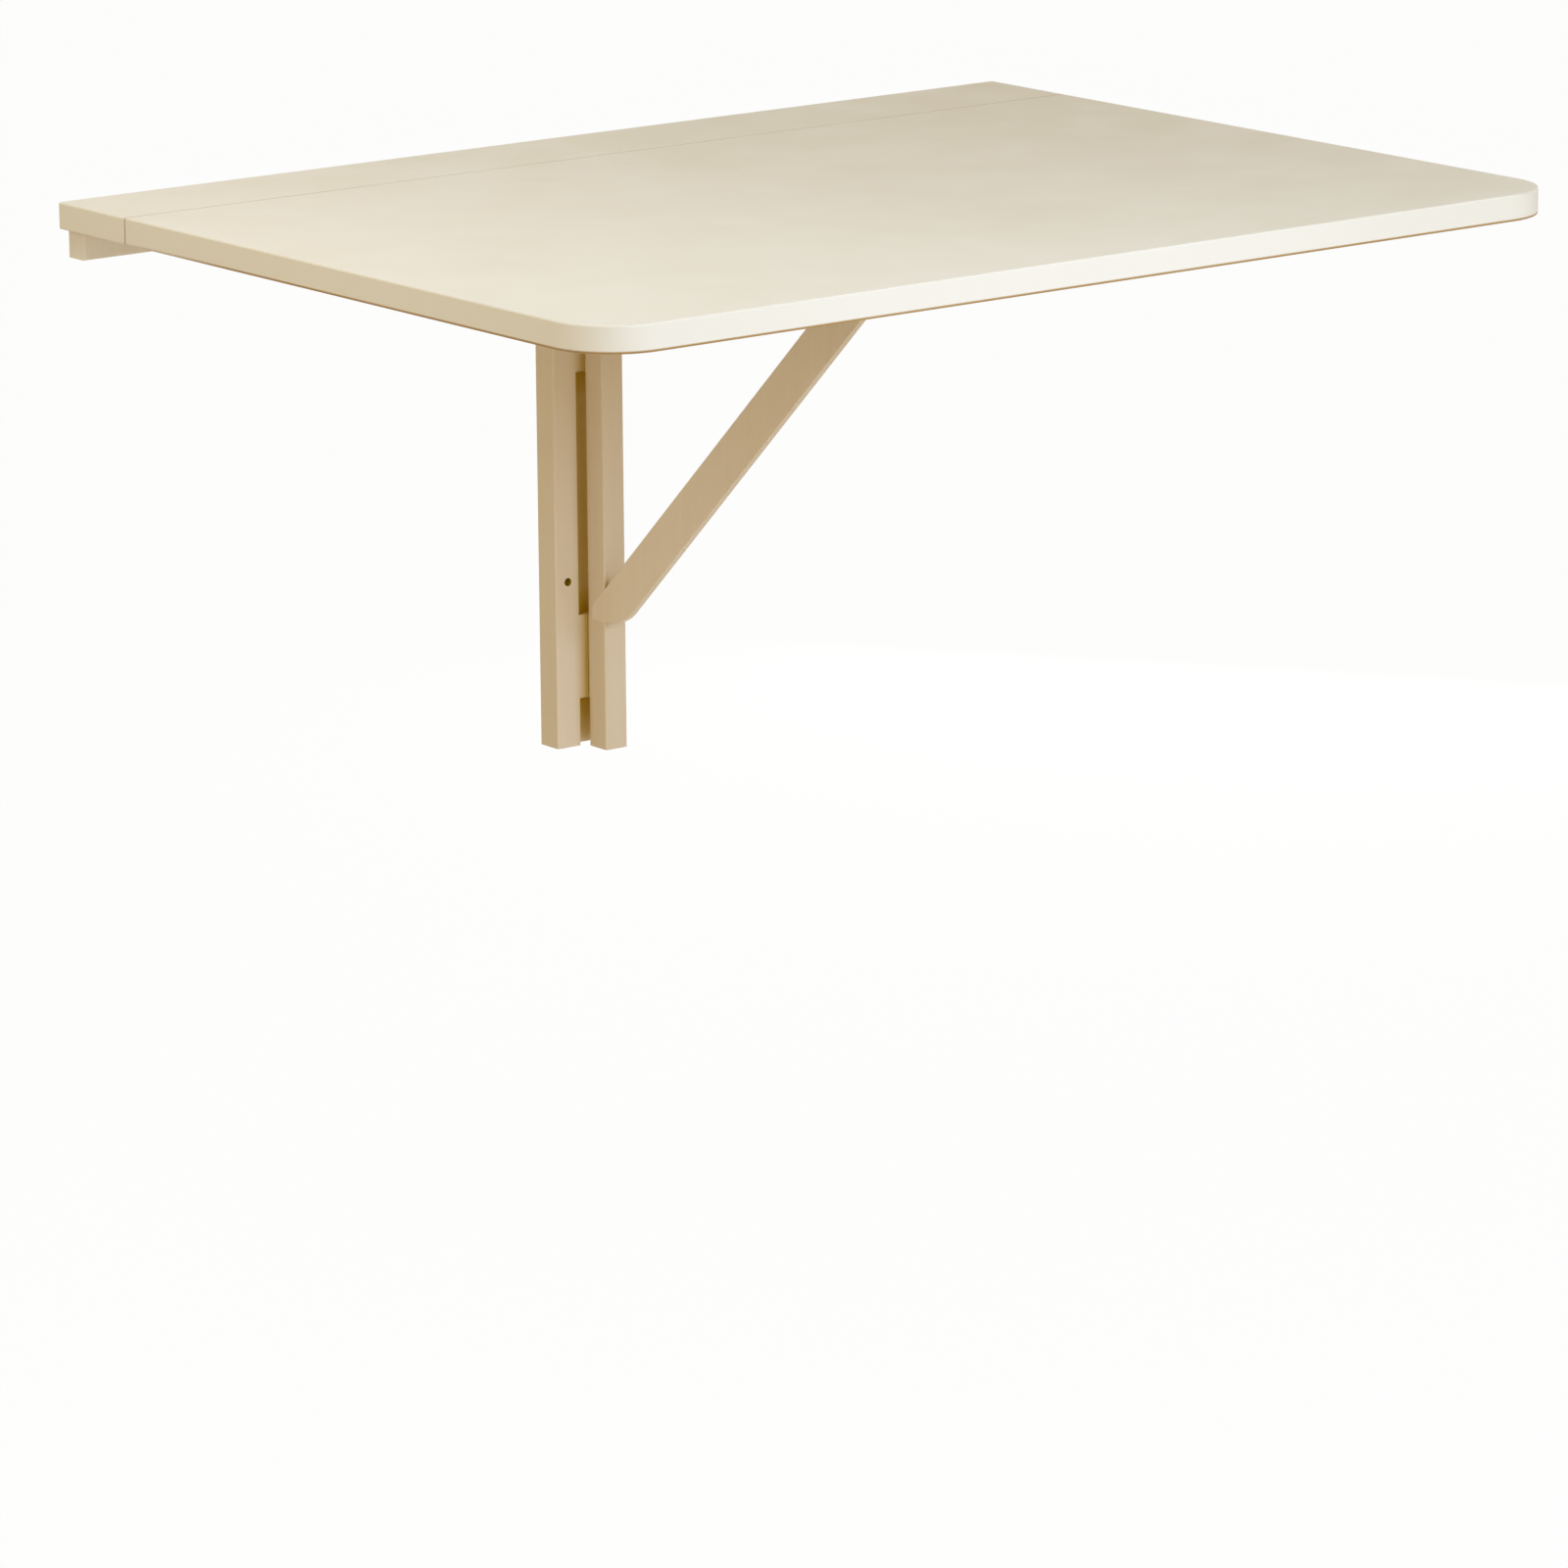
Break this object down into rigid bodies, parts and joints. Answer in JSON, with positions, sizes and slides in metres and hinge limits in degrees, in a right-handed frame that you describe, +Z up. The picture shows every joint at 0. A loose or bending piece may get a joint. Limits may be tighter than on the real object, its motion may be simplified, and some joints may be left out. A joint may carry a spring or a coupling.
{
  "type": "wall mounted drop leaf table",
  "caption": "Wall mounted drop leaf table in ivory lacquer: a narrow fixed leaf on a wall ledger, a hinged drop leaf with rounded front corners and a swing gate with a slanted strut.",
  "frame": {"origin": "on the wall plane, at the middle of the ledger's row of wall screw holes", "axes": "+X along the wall to the right, +Y into the wall, +Z up; the table stands out towards -Y"},
  "size_m": [0.8, 0.6, 0.43],
  "materials": {
    "lacquered_board": "satin ivory lacquer on fibreboard",
    "lacquered_wood": "satin ivory lacquer on softwood",
    "beech_dowel": "bare beech",
    "zinc_screw": "zinc plated",
    "nickel_hinge": "satin nickel plate",
    "painted_hinge": "ivory lacquer over steel, as on the posts"
  },
  "bodies": {
    "wall_frame": {"fixed_leaf": "lacquered_board", "wall_ledger": "lacquered_wood", "wall_post": "lacquered_wood", "ledger_screws": "zinc_screw", "post_dowels": "beech_dowel", "leaf_hinge_left_fixed_plate": "nickel_hinge", "leaf_hinge_left_pin": "nickel_hinge", "leaf_hinge_middle_fixed_plate": "nickel_hinge", "leaf_hinge_middle_pin": "nickel_hinge", "leaf_hinge_right_fixed_plate": "nickel_hinge", "leaf_hinge_right_pin": "nickel_hinge", "gate_hinge_upper_wall_plate": "painted_hinge", "gate_hinge_upper_pin": "painted_hinge", "gate_hinge_lower_wall_plate": "painted_hinge", "gate_hinge_lower_pin": "painted_hinge", "leaf_hinge_fixed_screws": "zinc_screw", "gate_hinge_wall_screws": "zinc_screw"},
    "leaf": {"drop_leaf": "lacquered_board", "leaf_hinge_left_drop_plate": "nickel_hinge", "leaf_hinge_middle_drop_plate": "nickel_hinge", "leaf_hinge_right_drop_plate": "nickel_hinge", "leaf_hinge_drop_screws": "zinc_screw"},
    "gate": {"gate_post": "lacquered_wood", "gate_arm": "lacquered_wood", "gate_strut": "lacquered_wood", "gate_dowels": "beech_dowel", "strut_screw": "zinc_screw", "gate_hinge_upper_swing_plate": "painted_hinge", "gate_hinge_lower_swing_plate": "painted_hinge", "gate_hinge_swing_screws": "zinc_screw"}
  },
  "joints": [
    {"name": "gate_swing", "type": "hinge", "parent": "wall_frame", "child": "gate", "pos_m": [0.0342, -0.02195, -0.2], "axis": [0, 0, 1], "range_deg": [0, 90]},
    {"name": "leaf_lift", "type": "hinge", "parent": "wall_frame", "child": "leaf", "pos_m": [0, -0.0805, 0.0073], "axis": [-1, 0, 0], "range_deg": [0, 2.5]}
  ]
}
